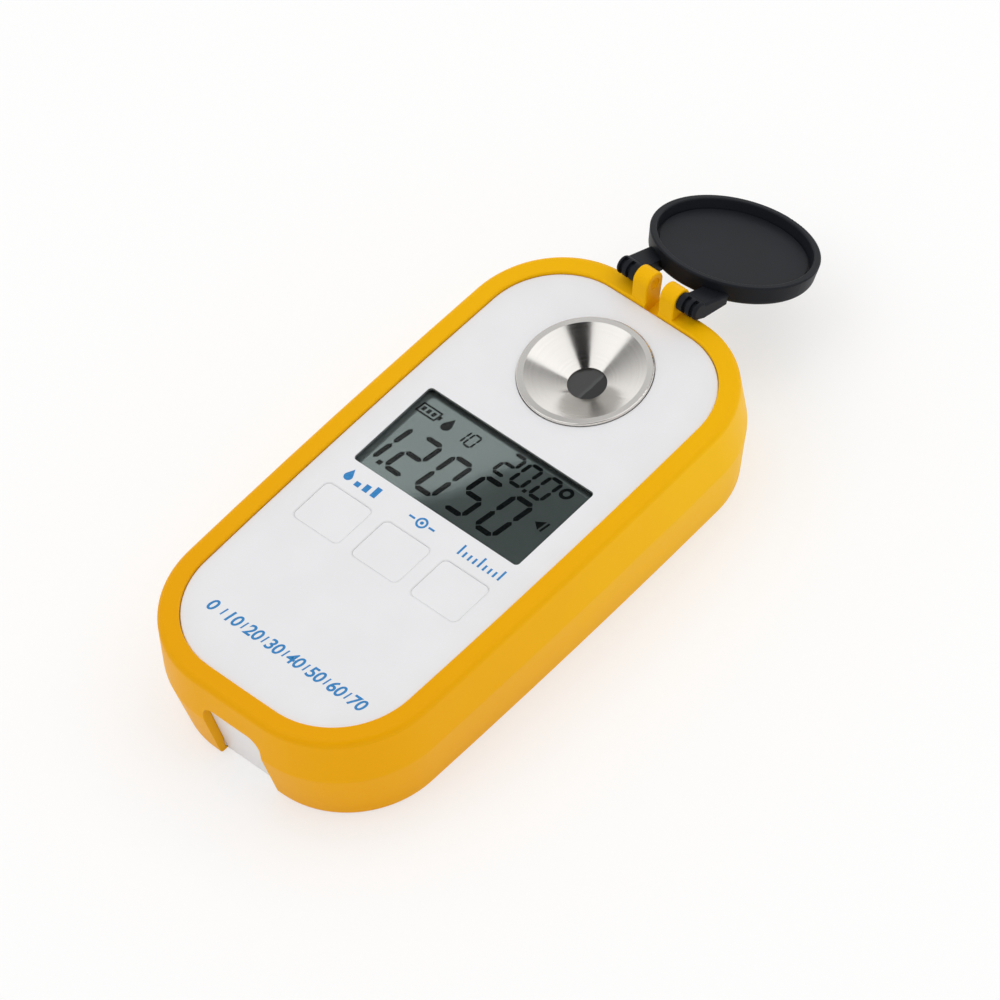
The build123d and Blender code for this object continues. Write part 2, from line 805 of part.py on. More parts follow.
def contact_plate(y):
    """Upright sheet contact across the battery bay, standing at the given Y."""
    half = bay_half - nest_gap
    low = floor_thickness + seat_gap
    sheet = block((-half, half), (y, y + contact_thickness), (low, low + contact_height))
    tab_half = contact_tab / 2
    tab_top = board_bottom - seat_gap
    return sheet + block((contact_tab_x - tab_half, contact_tab_x + tab_half), (y, y + contact_thickness),
                         (low + contact_height, tab_top))


def plate_contact():
    """Flat contact at the nub, its tab bent under the board."""
    y = cell_end - cell_length - seat_gap - contact_thickness
    tab_half = contact_tab / 2
    tab_top = board_bottom - seat_gap
    reach = board_front_end + contact_tab - nest_gap
    tab = block((contact_tab_x - tab_half, contact_tab_x + tab_half), (y, reach),
                (tab_top - contact_thickness, tab_top))
    return contact_plate(y) + tab


def spring_contact():
    """Contact with the conical spring that presses on the cell."""
    y = bay_end - nest_gap - contact_thickness
    height = spring_height - spring_wire * 2 - seat_gap
    cone = degrees(atan((spring_big_radius - spring_small_radius) / height))
    helix = Helix(pitch=height / spring_turns, height=height, radius=spring_big_radius, cone_angle=-cone)
    wire = Plane(origin=helix @ 0, z_dir=helix % 0) * Circle(spring_wire)
    coil = sweep(wire, path=helix, is_frenet=True)
    seat = Plane(origin=(0, y - spring_wire / 2, cell_z), x_dir=(1, 0, 0), z_dir=(0, -1, 0))
    return contact_plate(y) + seat * coil


# Screws

def case_screw_group():
    """Four screws that join the two covers from below."""
    seat = case_head_sink + case_head_height
    return Compound(children=[
        screw(x, y, seat, case_screw_radius, case_head_radius, case_head_height, case_screw_length)
        for x, y in case_screws])


def board_screw_group():
    """Four screws that hold the board to the display cover."""
    return Compound(children=[
        screw(x, y, board_bottom, board_screw_radius, board_head_radius, board_head_height,
              board_screw_length)
        for x, y in board_screws])


def optics_screw_group():
    """Two screws that hold the carrier's ears to the display cover."""
    return Compound(children=[
        screw(x, y, block_top - ear_thickness, board_screw_radius, board_head_radius, board_head_height,
              ear_thickness + optics_screw_length)
        for x, y in optics_screws])


nodes = {
    "front_cover": front_cover,
    "rear_cover": rear_cover,
    "protective_sleeve": sleeve,
    "battery_door": battery_door,
    "stage_lid": lid,
    "sample_stage": sample_stage,
    "prism": prism,
    "prism_seal": prism_seal,
    "optics_block": optics_block,
    "measuring_led": measuring_led,
    "led_board": led_board,
    "lens": lens,
    "line_sensor": line_sensor,
    "sensor_board": sensor_board,
    "sensor_ribbon": sensor_ribbon,
    "thermistor": thermistor,
    "display_window": display_window,
    "display_glass": display_glass,
    "zebra_strips": zebra_strips,
    "display_bezel": display_bezel,
    "main_board": main_board,
    "microcontroller": microcontroller,
    "ribbon_socket": ribbon_socket,
    "battery_cell": battery_cell,
    "plate_contact": plate_contact,
    "spring_contact": spring_contact,
    "case_screws": case_screw_group,
    "board_screws": board_screw_group,
    "optics_screws": optics_screw_group,
}

os.makedirs("parts", exist_ok=True)
for name, make in nodes.items():
    export_step(make(), f"parts/{name}.step")
for name, side in button_names.items():
    export_step(button(side), f"parts/{name}.step")
    export_step(tact_switch(side), f"parts/{name.replace('button', 'switch')}.step")
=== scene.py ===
import math

import bmesh
import bpy
from mathutils import Matrix, Vector


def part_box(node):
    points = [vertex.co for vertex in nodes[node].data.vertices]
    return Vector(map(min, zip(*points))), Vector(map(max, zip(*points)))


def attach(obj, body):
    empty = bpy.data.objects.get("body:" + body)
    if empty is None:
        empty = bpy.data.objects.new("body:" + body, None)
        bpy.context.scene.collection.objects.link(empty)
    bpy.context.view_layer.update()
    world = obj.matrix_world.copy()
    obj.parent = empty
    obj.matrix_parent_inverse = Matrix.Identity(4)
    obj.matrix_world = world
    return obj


# Pocket refractometer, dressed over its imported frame. Metres, with mm for the small sizes below.
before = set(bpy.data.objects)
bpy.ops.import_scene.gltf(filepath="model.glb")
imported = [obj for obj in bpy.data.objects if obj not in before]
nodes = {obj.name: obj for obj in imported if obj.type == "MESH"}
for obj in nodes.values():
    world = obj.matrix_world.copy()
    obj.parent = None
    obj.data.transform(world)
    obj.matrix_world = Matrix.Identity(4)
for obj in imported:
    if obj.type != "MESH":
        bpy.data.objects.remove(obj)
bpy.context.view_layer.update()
mm = 0.001
print("frame loaded,", len(nodes), "nodes")


def linked(name, data):
    thing = bpy.data.objects.new(name, data)
    bpy.context.scene.collection.objects.link(thing)
    return thing


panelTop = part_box("front_cover")[1].z
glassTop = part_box("display_glass")[1].z
stageMiddle = sum(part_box("sample_stage"), Vector()) / 2


# Camera

cameraView = {
    "azimuth": 49.99,       # degrees from the front, towards the right side
    "elevation": 51.33,
    "roll": -9.6,
    "distance": 1.3595,
    "lens": 288.0,
    "sensor": 36.0,
    "target": (7.2 * mm, 4.98 * mm, 21.4 * mm),
}


def viewAxes(azimuth, elevation):
    # right, up and back of a camera that looks at the object from these angles
    a, e = math.radians(azimuth), math.radians(elevation)
    right = Vector((math.cos(a), math.sin(a), 0))
    back = Vector((math.sin(a) * math.cos(e), -math.cos(a) * math.cos(e), math.sin(e)))
    return right, back.cross(right), back


def makeCamera(view):
    right, up, back = viewAxes(view["azimuth"], view["elevation"])
    roll = math.radians(view["roll"])
    across = right * math.cos(roll) + up * math.sin(roll)
    upright = up * math.cos(roll) - right * math.sin(roll)
    lens = bpy.data.cameras.new("photo_camera")
    lens.lens, lens.sensor_width = view["lens"], view["sensor"]
    lens.clip_start, lens.clip_end = 0.05, 20
    camera = linked("photo_camera", lens)
    turn = Matrix((across, upright, back)).transposed().to_4x4()
    place = Vector(view["target"]) + back * view["distance"]
    camera.matrix_world = Matrix.Translation(place) @ turn
    bpy.context.scene.camera = camera


makeCamera(cameraView)
viewBack = viewAxes(cameraView["azimuth"], cameraView["elevation"])[2]
print("camera placed")


# Shader helpers: Wire is one output of a node, and plain arithmetic on it adds Math nodes

class Wire:
    def __init__(self, finish, made, out=0):
        self.finish, self.made, self.out = finish, made, out

    def math(self, operation, *values):
        return self.finish.node("ShaderNodeMath", {"operation": operation}, dict(enumerate(values)))

    def __add__(self, other):
        return self.math("ADD", self, other)

    __radd__ = __add__

    def __sub__(self, other):
        return self.math("SUBTRACT", self, other)

    def __mul__(self, other):
        return self.math("MULTIPLY", self, other)

    def __pow__(self, other):
        return self.math("POWER", self, other)

    def __gt__(self, other):
        return self.math("GREATER_THAN", self, other)

    def __lt__(self, other):
        return self.math("LESS_THAN", self, other)

    def sine(self):
        return self.math("SINE", self)

    def clamped(self, low, high, toLow=0.0, toHigh=1.0):
        # maps low..high to toLow..toHigh with soft ends
        return self.finish.node(
            "ShaderNodeMapRange", {"interpolation_type": "SMOOTHSTEP"},
            {"Value": self, "From Min": low, "From Max": high, "To Min": toLow, "To Max": toHigh})


class Finish:
    # one material or world: node() adds any node, surface() makes the shader
    def __init__(self, name, owner=None):
        self.owner = owner or bpy.data.materials.new(name)
        self.owner.use_nodes = True
        self.tree = self.owner.node_tree
        self.tree.nodes.clear()

    def node(self, kind, settings=None, sockets=None, out=0):
        made = self.tree.nodes.new(kind)
        for key, value in (settings or {}).items():
            if key == "stops":
                self.setStops(made.color_ramp, value)
            else:
                setattr(made, key, value)
        for key, value in (sockets or {}).items():
            if isinstance(value, Wire):
                self.tree.links.new(value.made.outputs[value.out], made.inputs[key])
            else:
                made.inputs[key].default_value = value
        return Wire(self, made, out)

    def setStops(self, ramp, stops):
        while len(ramp.elements) < len(stops):
            ramp.elements.new(0.5)
        for element, (place, colour) in zip(ramp.elements, stops):
            element.position, element.color = place, (*colour, 1)

    def place(self):
        return self.node("ShaderNodeTexCoord", out="Object")

    def axes(self, wire=None):
        # x, y and z of a place, each as a number
        parts = self.node("ShaderNodeSeparateXYZ", None, {0: wire or self.place()})
        return [Wire(self, parts.made, i) for i in range(3)]

    def noise(self, size, detail=2.0, roughness=0.5, stretch=None):
        # size is that of the pattern's features, in metres
        place = self.place()
        if stretch:
            place = self.node("ShaderNodeVectorMath", {"operation": "MULTIPLY"}, {0: place, 1: stretch})
        return self.node("ShaderNodeTexNoise", None, {
            "Vector": place, "Scale": 1 / size, "Detail": detail, "Roughness": roughness})

    def blend(self, factor, first, second):
        first, second = [c if isinstance(c, Wire) else (*c, 1) for c in (first, second)]
        return self.node("ShaderNodeMix", {"data_type": "RGBA"}, {0: factor, 6: first, 7: second}, out=2)

    def bump(self, height, strength, depth, under=None):
        sockets = {"Height": height, "Strength": strength, "Distance": depth}
        if under:
            sockets["Normal"] = under
        return self.node("ShaderNodeBump", None, sockets)

    def surface(self, **sockets):
        named = {key.replace("_", " "): value for key, value in sockets.items()}
        for key in ("Base Color", "Emission Color"):
            if key in named and not isinstance(named[key], Wire):
                named[key] = (*named[key], 1)
        return self.node("ShaderNodeBsdfPrincipled", None, named)

    def done(self, shader):
        self.node("ShaderNodeOutputMaterial", None, {"Surface": shader})
        return self.owner


# Finishes

def mouldedPlastic(name, colour, roughness, grainSize=0.16 * mm, grainDepth=0.004 * mm, drift=0.03, gloss=0.5):
    # moulded plastic with a fine spark-eroded grain and a faint drift of colour
    finish = Finish(name)
    grain = finish.noise(grainSize, 2, 0.6)
    cloud = finish.noise(9 * mm, 3)
    darker = tuple(c * (1 - drift) for c in colour)
    lighter = tuple(min(1, c * (1 + drift)) for c in colour)
    shade = finish.blend(cloud.clamped(0.3, 0.7), darker, lighter)
    rough = roughness + (cloud - 0.5) * 0.08 + (grain - 0.5) * 0.06
    return finish.done(finish.surface(
        Base_Color=shade, Roughness=rough, Specular_IOR_Level=gloss,
        Normal=finish.bump(grain, 0.35, grainDepth)))


sleeveLook = {
    "low": (0.80, 0.365, 0.0002),       # near the lower end
    "high": (0.86, 0.455, 0.0008),      # near the hinge
    # painted light: the two wall colours are lighter, yellower copies of the rubber, for the light the walls
    # catch
    "paintedLightWallLow": (0.88, 0.415, 0.0003),
    "paintedLightWallHigh": (0.97, 0.560, 0.0030),
    "dust": (0.93, 0.60, 0.12),
    "roughness": 0.42,
    "gloss": 0.07,
    "grain": 0.22 * mm,
    "grainDepth": 0.006 * mm,
}


def sleeveRubber():
    finish = Finish("sleeve_rubber")
    look = sleeveLook
    cloud = finish.noise(14 * mm, 3)
    grain = finish.noise(look["grain"], 3, 0.65)
    pores = finish.noise(look["grain"] * 5, 2)
    x, y, z = finish.axes()
    along = (y + (cloud - 0.5) * 0.03).clamped(-60 * mm, 60 * mm)
    shade = finish.blend(along, look["low"], look["high"])
    # painted light: the walls below the rim top are painted a lighter, yellower copy of the rubber's colour,
    # for the light they catch
    wall = finish.blend(along, look["paintedLightWallLow"], look["paintedLightWallHigh"])
    shade = finish.blend(z.clamped(panelTop - 0.9 * mm, panelTop + 0.4 * mm, 0.85, 0.0), shade, wall)
    # a little dust lies where the rubber is handled, thicker low on the walls
    low = z.clamped(1 * mm, 12 * mm, 0.10, 0.03)
    speck = finish.noise(0.7 * mm, 4, 0.7).clamped(0.60, 0.75)
    shade = finish.blend(speck * low, shade, look["dust"])
    rough = look["roughness"] + (cloud - 0.5) * 0.12 + (pores - 0.5) * 0.10
    coarse = finish.bump(pores, 0.25, look["grainDepth"] * 2)
    return finish.done(finish.surface(
        Base_Color=shade, Roughness=rough, Specular_IOR_Level=look["gloss"],
        Normal=finish.bump(grain, 0.4, look["grainDepth"], coarse)))


steelLook = {
    "colour": (0.66, 0.645, 0.62),
    "dark": (0.58, 0.56, 0.535),
    "roughness": 0.15,
    "ringPitch": 0.11 * mm,     # turning marks round the dish
}


def turnedSteel():
    finish = Finish("turned_steel")
    look = steelLook
    x, y, z = finish.axes()
    across, along = x - stageMiddle.x, y - stageMiddle.y
    radius = (across * across + along * along) ** 0.5
    wobble = finish.noise(1.6 * mm, 2)
    rings = (radius * (2 * math.pi / look["ringPitch"]) + wobble * 5).sine()
    bands = finish.node("ShaderNodeTexNoise", {"noise_dimensions": "1D"}, {
        "W": radius, "Scale": 1 / (0.35 * mm), "Detail": 3})
    smear = finish.noise(4 * mm, 4, 0.6)
    shade = finish.blend(bands * 0.6 + smear * 0.4, look["dark"], look["colour"])
    rough = look["roughness"] + (bands - 0.5) * 0.07 + (smear - 0.5) * 0.06
    turned = finish.bump(rings * 0.5 + bands, 0.30, 0.0006 * mm)
    return finish.done(finish.surface(
        Base_Color=shade, Metallic=1.0, Roughness=rough, Normal=turned))


def machinedSteel(name, colour, roughness, size=0.4 * mm):
    finish = Finish(name)
    brushed = finish.noise(size, 4, 0.7, (1, 6, 1))
    stain = finish.noise(3 * mm, 3)
    shade = finish.blend(stain.clamped(0.3, 0.7), tuple(c * 0.85 for c in colour), colour)
    rough = roughness + (brushed - 0.5) * 0.15
    return finish.done(finish.surface(
        Base_Color=shade, Metallic=1.0, Roughness=rough, Normal=finish.bump(brushed, 0.2, 0.003 * mm)))


def clearGlass(name, tint, haze, gloss):
    # a thin clear sheet: it lets light straight through and mirrors by its angle
    finish = Finish(name)
    smudge = finish.noise(5 * mm, 4, 0.6)
    ripple = finish.noise(12 * mm, 1)
    flat = finish.bump(ripple, 0.05, 0.002 * mm)
    clear = finish.node("ShaderNodeBsdfTransparent", None, {"Color": (*tint, 1)})
    mirror = finish.node("ShaderNodeBsdfGlossy", None, {
        "Color": (1, 1, 1, 1), "Roughness": haze + (smudge - 0.5) * 0.02, "Normal": flat})
    rim = finish.node("ShaderNodeFresnel", None, {"IOR": gloss})
    film = rim + smudge.clamped(0.55, 0.9, 0.0, 0.006)
    return finish.done(finish.node("ShaderNodeMixShader", None, {0: film, 1: clear, 2: mirror}))


def solidGlass(name, colour, roughness=0.04, coat=0.6):
    # glass that is seen against a dark hollow
    finish = Finish(name)
    cloud = finish.noise(2.5 * mm, 3)
    dust = finish.noise(0.25 * mm, 2, 0.8).clamped(0.70, 0.80)
    shade = finish.blend(cloud.clamped(0.3, 0.7), tuple(c * 0.8 for c in colour), colour)
    shade = finish.blend(dust * 0.15, shade, (0.5, 0.5, 0.5))
    return finish.done(finish.surface(
        Base_Color=shade, Roughness=roughness + dust * 0.2, IOR=1.52, Coat_Weight=coat, Coat_Roughness=0.03))


prismLook = {
    # painted reflection: a lighter left tone, a darker right tone and a lighter streak between them
    "left": (0.046, 0.047, 0.046),
    "right": (0.016, 0.016, 0.017),
    "paintedReflectionStreak": (0.066, 0.068, 0.068),
    "streakX": 0.8 * mm,
}


def prismGlass(look):
    # painted reflection: the prism is painted in two tones, lighter on the left, with a lighter streak between
    # them, for the reflections it shows
    finish = Finish("prism_glass")
    x, y, z = finish.axes()
    cloud = finish.noise(2.5 * mm, 3)
    dust = finish.noise(0.25 * mm, 2, 0.8).clamped(0.70, 0.80)
    side = (x - look["streakX"] + (cloud - 0.5) * 0.6 * mm)
    shade = finish.blend(side.clamped(-0.25 * mm, 0.25 * mm), look["left"], look["right"])
    paintedReflectionStreak = side.clamped(-0.7 * mm, -0.1 * mm) * side.clamped(0.0, 0.35 * mm, 1.0, 0.0)
    shade = finish.blend(paintedReflectionStreak, shade, look["paintedReflectionStreak"])
    shade = finish.blend(dust * 0.12, shade, (0.5, 0.5, 0.5))
    return finish.done(finish.surface(
        Base_Color=shade, Roughness=0.05 + dust * 0.2, IOR=1.40, Coat_Weight=0.15, Coat_Roughness=0.03))


displayLook = {
    "colour": (0.248, 0.295, 0.284),
    # painted shade: the darker colour of the band under the opening's upper edge
    "edge": (0.080, 0.094, 0.090),
    "metal": 0.68,              # the reflector behind the liquid
    "roughness": 0.06,
    "paintedShadeWidth": 0.9 * mm,        # width of the painted shade band under the upper edge of the opening
}


def crystalCell():
    finish = Finish("crystal_cell")
    look = displayLook
    x, y, z = finish.axes()
    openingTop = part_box("display_window")[1].y - 1.2 * mm
    # painted shade: a dark band across the glass under the upper edge of the opening, where the recess throws
    # shade
    paintedShadeBand = (y - (openingTop - look["paintedShadeWidth"])).clamped(0.0, look["paintedShadeWidth"])
    fibre = finish.noise(0.9 * mm, 3, 0.6, (1, 0.2, 1))
    cloud = finish.noise(16 * mm, 2)
    shade = finish.blend(cloud, tuple(c * 0.9 for c in look["colour"]), tuple(c * 1.1 for c in look["colour"]))
    shade = finish.blend(paintedShadeBand, shade, look["edge"])
    return finish.done(finish.surface(
        Base_Color=shade, Metallic=look["metal"],
        Roughness=look["roughness"] + (fibre - 0.5) * 0.03,
        Normal=finish.bump(fibre, 0.03, 0.001 * mm), IOR=1.5))


def inkFinish(name, colour, roughness=0.45, gloss=0.4):
    # printed ink with a slightly uneven cover
    finish = Finish(name)
    cover = finish.noise(0.35 * mm, 3, 0.6)
    shade = finish.blend(cover.clamped(0.35, 0.75), colour, tuple(min(1, c * 1.25 + 0.01) for c in colour))
    return finish.done(finish.surface(
        Base_Color=shade, Roughness=roughness + (cover - 0.5) * 0.1, Specular_IOR_Level=gloss,
        Normal=finish.bump(cover, 0.1, 0.002 * mm)))


def boardLaminate():
    # green solder mask over woven glass, with darker traces below it
    finish = Finish("board_laminate")
    x, y, z = finish.axes()
    pitch = 2 * math.pi / (0.5 * mm)
    weave = (x * pitch).sine() * (y * pitch).sine()
    lanes = finish.node("ShaderNodeTexBrick", {"offset": 0.5}, {
        "Vector": finish.place(), "Color1": (0, 0, 0, 1), "Color2": (0.4, 0.4, 0.4, 1), "Mortar": (1, 1, 1, 1),
        "Scale": 1.0, "Mortar Size": 0.18 * mm, "Mortar Smooth": 0.3, "Brick Width": 6.5 * mm,
        "Row Height": 1.27 * mm})
    trace = finish.node("ShaderNodeRGBToBW", None, {0: lanes})
    shade = finish.blend(trace.clamped(0.2, 0.9), (0.008, 0.085, 0.030), (0.020, 0.170, 0.060))
    shade = finish.blend(finish.noise(6 * mm, 3) * 0.3, shade, (0.006, 0.060, 0.025))
    return finish.done(finish.surface(
        Base_Color=shade, Roughness=0.32 + trace * 0.1,
        Normal=finish.bump(weave * 0.15 + trace, 0.3, 0.012 * mm)))


def stripedZebra():
    # connector rubber: fine dark carbon layers across the strip
    finish = Finish("zebra_rubber")
    x, y, z = finish.axes()
    layers = (x * (2 * math.pi / (0.25 * mm))).sine()
    shade = finish.blend(layers.clamped(-0.2, 0.2), (0.55, 0.50, 0.42), (0.02, 0.02, 0.022))
    return finish.done(finish.surface(
        Base_Color=shade, Roughness=0.6 + layers * 0.05, Normal=finish.bump(layers, 0.2, 0.004 * mm)))


def cellJacket():
    # battery jacket: coloured sleeve with a metal band at the nub end and a plain ring
    finish = Finish("cell_jacket")
    x, y, z = finish.axes()
    low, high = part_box("battery_cell")
    fromNub = y - low.y
    scuff = finish.noise(0.8 * mm, 4, 0.7, (1, 0.2, 1))
    bare = (fromNub < 1.9 * mm) + (fromNub > (high.y - low.y - 0.7 * mm))
    copper = (fromNub > 3 * mm) * (fromNub < 13 * mm)
    ring = (fromNub > 13 * mm) * (fromNub < 13.8 * mm)
    shade = finish.blend(scuff.clamped(0.3, 0.8), (0.012, 0.016, 0.030), (0.022, 0.028, 0.050))
    shade = finish.blend(copper, shade, (0.60, 0.24, 0.07))
    shade = finish.blend(ring, shade, (0.75, 0.75, 0.72))
    shade = finish.blend(bare, shade, (0.62, 0.61, 0.58))
    metal = (bare + copper * 0.8).clamped(0.0, 1.0)
    return finish.done(finish.surface(
        Base_Color=shade, Metallic=metal, Roughness=0.28 + (scuff - 0.5) * 0.15,
        Normal=finish.bump(scuff, 0.1, 0.004 * mm)))


def ribbonFilm():
    # amber film with copper lanes along it
    finish = Finish("ribbon_film")
    x, y, z = finish.axes()
    lanes = (z * (2 * math.pi / (0.5 * mm))).sine()
    shade = finish.blend(lanes.clamped(0.0, 0.4), (0.55, 0.24, 0.03), (0.42, 0.17, 0.05))
    return finish.done(finish.surface(
        Base_Color=shade, Roughness=0.25 + finish.noise(0.6 * mm, 3) * 0.15,
        Normal=finish.bump(lanes, 0.3, 0.01 * mm)))


def facePlastic(name, colour, inner):
    # the housing's white, with painted shade: the walls inside the display opening are painted dark, where the
    # recess lies in shade
    finish = Finish(name)
    low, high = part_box("display_window")
    margin = 1.1 * mm
    x, y, z = finish.axes()
    inside = (x > low.x + margin) * (x < high.x - margin) * (y > low.y + margin) * (y < high.y - margin)
    # painted shade: mask of the opening's walls below the face, which get the dark colour
    coat = inside * (z < panelTop - 0.12 * mm)
    grain = finish.noise(0.14 * mm, 2, 0.6)
    cloud = finish.noise(9 * mm, 3)
    darker, lighter = tuple(c * 0.988 for c in colour), tuple(c * 1.012 for c in colour)
    shade = finish.blend(cloud.clamped(0.3, 0.7), darker, lighter)
    shade = finish.blend(coat, shade, inner)
    return finish.done(finish.surface(
        Base_Color=shade, Roughness=0.36 + (cloud - 0.5) * 0.08, Normal=finish.bump(grain, 0.35, 0.0025 * mm)))


white = (0.80, 0.80, 0.815)
finishes = {
    # the second colour is painted shade for the walls inside the display opening
    "facePlastic": facePlastic("face_plastic", white, (0.100, 0.108, 0.108)),
    "whitePlastic": mouldedPlastic("white_plastic", white, 0.36, 0.14 * mm, 0.0025 * mm, 0.012),
    "keyPlastic": mouldedPlastic("key_plastic", white, 0.33, 0.14 * mm, 0.0025 * mm, 0.010),
    "sleeveRubber": sleeveRubber(),
    "lidPlastic": mouldedPlastic(
        "lid_plastic", (0.0105, 0.0120, 0.0155), 0.46, 0.2 * mm, 0.006 * mm, 0.12, 0.10),
    "turnedSteel": turnedSteel(),
    "prismGlass": prismGlass(prismLook),
    "sealRubber": mouldedPlastic("seal_rubber", (0.02, 0.02, 0.02), 0.6, 0.3 * mm, 0.01 * mm, 0.1),
    "carrierPlastic": mouldedPlastic("carrier_plastic", (0.018, 0.018, 0.020), 0.55, 0.3 * mm, 0.01 * mm, 0.1),
    "ledResin": solidGlass("led_resin", (0.75, 0.45, 0.06), 0.08, 0.4),
    "lensGlass": solidGlass("lens_glass", (0.55, 0.62, 0.64), 0.02, 1.0),
    "boardLaminate": boardLaminate(),
    "sensorResin": solidGlass("sensor_resin", (0.05, 0.04, 0.05), 0.15, 0.5),
    "ribbonFilm": ribbonFilm(),
    "beadResin": solidGlass("bead_resin", (0.05, 0.10, 0.30), 0.20, 0.4),
    "windowClear": clearGlass("window_clear", (0.97, 0.98, 0.98), 0.012, 1.21),
    "crystalCell": crystalCell(),
    "zebraRubber": stripedZebra(),
    "bezelPlastic": mouldedPlastic("bezel_plastic", (0.75, 0.75, 0.72), 0.5, 0.2 * mm, 0.005 * mm, 0.05),
    "chipResin": mouldedPlastic("chip_resin", (0.022, 0.022, 0.024), 0.5, 0.12 * mm, 0.006 * mm, 0.15),
    "socketPlastic": mouldedPlastic("socket_plastic", (0.70, 0.66, 0.55), 0.4, 0.2 * mm, 0.004 * mm, 0.05),
    "switchPlastic": mouldedPlastic("switch_plastic", (0.035, 0.035, 0.037), 0.45, 0.2 * mm, 0.005 * mm, 0.1),
    "cellJacket": cellJacket(),
    "contactNickel": machinedSteel("contact_nickel", (0.70, 0.67, 0.61), 0.28),
    "screwSteel": machinedSteel("screw_steel", (0.58, 0.58, 0.58), 0.32, 0.25 * mm),
    "displayInk": inkFinish("display_ink", (0.0020, 0.0035, 0.0035), 0.5, 0.02),
    "faceInk": inkFinish("face_ink", (0.012, 0.190, 0.470), 0.42),
    "membrane": mouldedPlastic("membrane", (0.76, 0.76, 0.77), 0.5, 0.15 * mm, 0.003 * mm, 0.02),
}

nodeFinish = {
    "front_cover": "facePlastic", "rear_cover": "whitePlastic", "battery_door": "whitePlastic",
    "protective_sleeve": "sleeveRubber", "stage_lid": "lidPlastic",
    "sample_stage": "turnedSteel", "prism": "prismGlass", "prism_seal": "sealRubber",
    "optics_block": "carrierPlastic", "measuring_led": "ledResin", "lens": "lensGlass",
    "led_board": "boardLaminate", "sensor_board": "boardLaminate", "main_board": "boardLaminate",
    "line_sensor": "sensorResin", "sensor_ribbon": "ribbonFilm", "thermistor": "beadResin",
    "display_window": "windowClear", "display_glass": "crystalCell", "zebra_strips": "zebraRubber",
    "display_bezel": "bezelPlastic", "microcontroller": "chipResin", "ribbon_socket": "socketPlastic",
    "battery_cell": "cellJacket", "plate_contact": "contactNickel", "spring_contact": "contactNickel",
    "case_screws": "screwSteel", "board_screws": "screwSteel", "optics_screws": "screwSteel",
    "button_left": "keyPlastic", "button_middle": "keyPlastic", "button_right": "keyPlastic",
    "switch_left": "switchPlastic", "switch_middle": "switchPlastic", "switch_right": "switchPlastic",
}


def paint(thing, finish):
    thing.data.materials.clear()
    thing.data.materials.append(finishes[finish])


for name, finish in nodeFinish.items():
    paint(nodes[name], finish)
print("finishes made and set on", len(nodeFinish), "nodes")


# Pieces made here: each rides on the housing

def housingPiece(name, built, finish):
    mesh = bpy.data.meshes.new(name)
    built.to_mesh(mesh)
    built.free()
    piece = linked(name, mesh)
    paint(piece, finish)
    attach(piece, "housing")


# Flat printed shapes: outlines in mm on a face, raised a little

def flatPiece(name, outlines, bottom, thickness, finish):
    built = bmesh.new()
    for outline in outlines:
        corners = [built.verts.new((x * mm, y * mm, bottom)) for x, y in outline]
        face = built.faces.new(corners)
        if face.normal.z < 0:
            face.normal_flip()
    raised = bmesh.ops.extrude_face_region(built, geom=built.faces[:])
    tops = [v for v in raised["geom"] if isinstance(v, bmesh.types.BMVert)]
    bmesh.ops.translate(built, verts=tops, vec=(0, 0, thickness))
    bmesh.ops.recalc_face_normals(built, faces=built.faces[:])
    housingPiece(name, built, finish)


def bar(start, end, width):
    # a straight stroke with pointed ends
    (x0, y0), (x1, y1) = start, end
    length = math.hypot(x1 - x0, y1 - y0)
    ux, uy = (x1 - x0) / length, (y1 - y0) / length
    half = tip = width / 2
    local = [(0, 0), (tip, -half), (length - tip, -half), (length, 0), (length - tip, half), (tip, half)]
    return [(x0 + ux * a - uy * b, y0 + uy * a + ux * b) for a, b in local]


def box(x, y, width, height):
    return [(x, y), (x + width, y), (x + width, y + height), (x, y + height)]


def disc(x, y, radius, count=24):
    turns = [2 * math.pi * i / count for i in range(count)]
    return [(x + radius * math.cos(t), y + radius * math.sin(t)) for t in turns]


def ring(x, y, outer, inner, count=28):
    # a ring as a row of quads
    turns = [math.radians(360.0 * i / count) for i in range(count + 1)]
    quads = []
    for a, b in zip(turns, turns[1:]):
        quads.append([(x + r * math.cos(t), y + r * math.sin(t))
                      for r, t in ((inner, a), (outer, a), (outer, b), (inner, b))])
    return quads


def slanted(outlines, foot, slant):
    # leans shapes to the right about their foot line
    lean = math.tan(math.radians(slant))
    return [[(x + (y - foot) * lean, y) for x, y in outline] for outline in outlines]


# Display reading

# each row: the digits with the left edge of each, in mm before the lean
reading = {
    "slant": 8.6,
    "main": {"digits": ("1", "2", "0", "5", "0"), "places": (-21.9, -15.1, -8.1, -1.05, 5.98), "point": -16.3,
             "foot": -1.4, "width": 4.9, "height": 10.0, "stroke": 1.02, "gap": 0.14},
    "upper": {"digits": ("2", "0", "0"), "places": (0.40, 4.25, 8.80), "point": 7.85,
              "foot": 9.4, "width": 3.3, "height": 5.85, "stroke": 0.74, "gap": 0.08},
    "small": {"digits": ("1", "0"), "places": (-9.65, -7.35), "point": None,
              "foot": 10.7, "width": 1.95, "height": 3.2, "stroke": 0.38, "gap": 0.05},
    "battery": (-18.9, 11.35, 4.5, 2.3, 0.34),
    "drop": (-11.9, 11.9, 0.98),
    "degree": (13.8, 13.7, 1.25, 0.62),
    "pointer": (14.0, 4.9, 1.6, 2.2),
    "stopGap": 0.4,
    "stopWidth": 0.42,
}

segmentsOf = {
    "0": "abcdef", "1": "bc", "2": "abged", "3": "abgcd", "4": "fgbc", "5": "afgcd",
    "6": "afgedc", "7": "abc", "8": "abcdefg", "9": "abcdfg",
}


